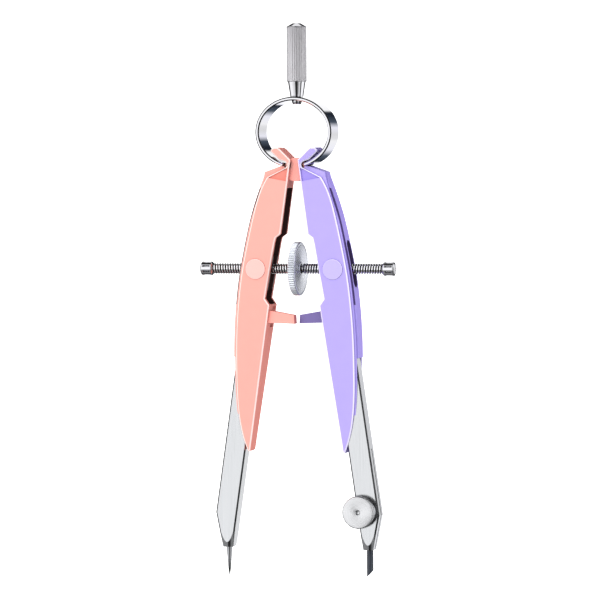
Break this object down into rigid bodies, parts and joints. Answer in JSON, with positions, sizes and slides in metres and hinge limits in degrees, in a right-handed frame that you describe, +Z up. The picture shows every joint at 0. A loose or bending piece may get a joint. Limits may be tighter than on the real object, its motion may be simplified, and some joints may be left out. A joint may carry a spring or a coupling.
{
  "type": "spring-bow drawing compass",
  "caption": "Spring-bow drawing compass: two moulded legs under a ring spring, set by a knurled wheel on a centre spindle, with needle and lead points.",
  "frame": {"origin": "middle of the finger grip, on its axis", "axes": "+Z up along the handle's axis, away from the points; +X towards the lead leg; -Y towards the front, where the clamp screw is"},
  "size_m": [0.0604, 0.0162, 0.1667],
  "materials": {
    "chrome": "polished",
    "steel": "satin",
    "grip": "fluted satin",
    "salmon": "satin moulded",
    "salmon_light": "satin moulded",
    "lavender": "satin moulded",
    "lavender_light": "satin moulded",
    "nut_plastic": "moulded",
    "lead": "graphite"
  },
  "bodies": {
    "handle": {"top_cap": "chrome", "grip_sleeve": "grip", "handle_stem": "chrome", "ring_nut": "chrome", "spring_ring": "chrome"},
    "left_leg": {"left_leg_housing": "salmon", "needle_leg": "steel", "needle": "steel"},
    "right_leg": {"right_leg_housing": "lavender", "lead_leg": "steel"},
    "left_swivel": {"left_spindle_nut": "nut_plastic", "left_button_front": "salmon_light", "left_button_rear": "salmon_light"},
    "right_swivel": {"right_spindle_nut": "nut_plastic", "right_button_front": "lavender_light", "right_button_rear": "lavender_light"},
    "spindle_stops": {"left_end_stop": "chrome", "right_end_stop": "chrome"},
    "spindle": {"threaded_spindle": "chrome", "thumbwheel": "steel"},
    "clamp_screw": {"clamp_screw": "steel"},
    "lead": {"lead": "lead"}
  },
  "joints": [
    {"name": "wheel_spin", "type": "hinge", "parent": "spindle_stops", "child": "spindle", "pos_m": [0, 0, -0.06436], "axis": [1, 0, 0], "range_deg": [-2045, 3295]},
    {"name": "left_leg_swing", "type": "hinge", "parent": "handle", "child": "left_leg", "pos_m": [0, 0, -0.0346], "axis": [0, 1, 0], "range_deg": [-9, 14.5], "deforming": ["spring_ring"]},
    {"name": "right_leg_swing", "type": "hinge", "parent": "handle", "child": "right_leg", "pos_m": [0, 0, -0.0346], "axis": [0, -1, 0], "range_deg": [-9, 14.5], "deforming": ["spring_ring"]},
    {"name": "left_swivel_turn", "type": "hinge", "parent": "left_leg", "child": "left_swivel", "pos_m": [-0.012, 0, -0.06436], "axis": [0, 1, 0], "range_deg": [-14.5, 9]},
    {"name": "right_swivel_turn", "type": "hinge", "parent": "right_leg", "child": "right_swivel", "pos_m": [0.012, 0, -0.06436], "axis": [0, -1, 0], "range_deg": [-14.5, 9]},
    {"name": "spindle_slide", "type": "slide", "parent": "left_swivel", "child": "spindle_stops", "axis": [1, 0, 0], "range_m": [-0.0048, 0.0076]},
    {"name": "clamp_screw_turn", "type": "hinge", "parent": "right_leg", "child": "clamp_screw", "pos_m": [0.0198, -0.00266, -0.1368], "axis": [0, 1, 0], "range_deg": [0, 720]},
    {"name": "lead_slide", "type": "slide", "parent": "right_leg", "child": "lead", "axis": [0, 0, -1], "range_m": [0, 0.006]}
  ],
  "couplings": [
    {"joint": "left_leg_swing", "follows": "wheel_spin", "ratio": 0.0044},
    {"joint": "right_leg_swing", "follows": "wheel_spin", "ratio": 0.0044},
    {"joint": "left_swivel_turn", "follows": "wheel_spin", "ratio": -0.0044},
    {"joint": "right_swivel_turn", "follows": "wheel_spin", "ratio": -0.0044},
    {"joint": "spindle_slide", "follows": "wheel_spin", "m_per_rad": 0.00012732}
  ]
}
